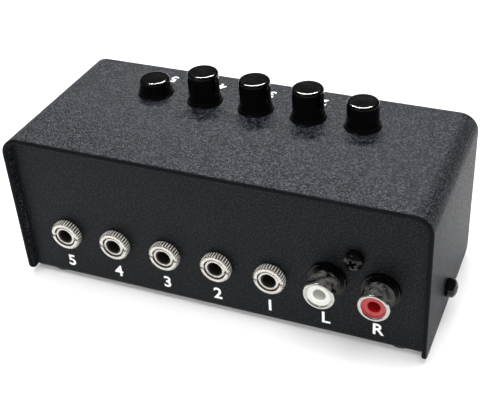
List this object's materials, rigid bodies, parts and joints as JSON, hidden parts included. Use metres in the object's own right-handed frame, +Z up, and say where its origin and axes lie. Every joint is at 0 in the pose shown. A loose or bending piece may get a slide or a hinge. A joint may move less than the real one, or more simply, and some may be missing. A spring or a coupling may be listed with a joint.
{
  "type": "speaker selector switch",
  "caption": "Desktop audio selector box in black folded steel, with latching push buttons on top and 3.5 mm and phono sockets on its connector panel.",
  "frame": {"origin": "centre of the object's footprint, on the surface it stands on", "axes": "+Z up, -Y out of the connector panel, +X to the right as one faces the connector panel"},
  "size_m": [0.123, 0.0546, 0.0547],
  "materials": {
    "cover_coat": "fine textured black powder coat",
    "chassis_coat": "satin textured black powder coat",
    "black_screw": "glossy black oxide",
    "foot_rubber": "matt",
    "collar_black": "glossy moulded",
    "cap_black": "glossy moulded, softer on the top",
    "spring_steel": "bright drawn wire",
    "contact_bronze": "bright rolled strip",
    "nickel": "bright nickel plate",
    "chrome": "polished chrome plate",
    "socket_black": "moulded, slight gloss",
    "insert_white": "moulded",
    "insert_red": "moulded",
    "plunger_white": "moulded acetal",
    "housing_black": "moulded",
    "board_green": "solder mask over glass laminate",
    "stand_zinc": "zinc plate",
    "wire_grey": "soft insulation"
  },
  "bodies": {
    "box": {"cover": "cover_coat", "chassis": "chassis_coat", "cover_screws": "black_screw", "feet": "foot_rubber", "button_collars": "collar_black", "latch_wires": "spring_steel", "switch_terminals": "contact_bronze", "jack_nuts": "nickel", "phono_body": "socket_black", "phono_shell_left": "chrome", "phono_shell_right": "chrome", "phono_insert_white": "insert_white", "phono_insert_red": "insert_red", "phono_contacts": "contact_bronze", "phono_screw": "black_screw", "main_board": "board_green", "switch_board": "board_green", "board_stands": "stand_zinc", "board_screws": "stand_zinc", "link_wires": "wire_grey", "switch_1_housing": "housing_black", "switch_1_spring": "spring_steel", "switch_2_housing": "housing_black", "switch_2_spring": "spring_steel", "switch_3_housing": "housing_black", "switch_3_spring": "spring_steel", "switch_4_housing": "housing_black", "switch_4_spring": "spring_steel", "switch_5_housing": "housing_black", "switch_5_spring": "spring_steel", "jack_1_body": "socket_black", "jack_1_sleeve": "nickel", "jack_1_contacts": "contact_bronze", "jack_2_body": "socket_black", "jack_2_sleeve": "nickel", "jack_2_contacts": "contact_bronze", "jack_3_body": "socket_black", "jack_3_sleeve": "nickel", "jack_3_contacts": "contact_bronze", "jack_4_body": "socket_black", "jack_4_sleeve": "nickel", "jack_4_contacts": "contact_bronze", "jack_5_body": "socket_black", "jack_5_sleeve": "nickel", "jack_5_contacts": "contact_bronze"},
    "button_1": {"button_1_cap": "cap_black", "button_1_plunger": "plunger_white", "button_1_wipers": "contact_bronze"},
    "button_2": {"button_2_cap": "cap_black", "button_2_plunger": "plunger_white", "button_2_wipers": "contact_bronze"},
    "button_3": {"button_3_cap": "cap_black", "button_3_plunger": "plunger_white", "button_3_wipers": "contact_bronze"},
    "button_4": {"button_4_cap": "cap_black", "button_4_plunger": "plunger_white", "button_4_wipers": "contact_bronze"},
    "button_5": {"button_5_cap": "cap_black", "button_5_plunger": "plunger_white", "button_5_wipers": "contact_bronze"}
  },
  "joints": [
    {"name": "press_1", "type": "slide", "parent": "box", "child": "button_1", "axis": [0, 0, -1], "range_m": [0, 0.0047], "stiffness_N_per_m": 250, "springref_m": -0.004, "deforming": ["switch_1_spring"]},
    {"name": "press_2", "type": "slide", "parent": "box", "child": "button_2", "axis": [0, 0, -1], "range_m": [0, 0.0047], "stiffness_N_per_m": 250, "springref_m": -0.004, "deforming": ["switch_2_spring"]},
    {"name": "press_3", "type": "slide", "parent": "box", "child": "button_3", "axis": [0, 0, -1], "range_m": [0, 0.0047], "stiffness_N_per_m": 250, "springref_m": -0.004, "deforming": ["switch_3_spring"]},
    {"name": "press_4", "type": "slide", "parent": "box", "child": "button_4", "axis": [0, 0, -1], "range_m": [0, 0.0047], "stiffness_N_per_m": 250, "springref_m": -0.004, "deforming": ["switch_4_spring"]},
    {"name": "press_5", "type": "slide", "parent": "box", "child": "button_5", "axis": [0, 0, -1], "range_m": [-0.00425, 0.00045], "deforming": ["switch_5_spring"]}
  ]
}
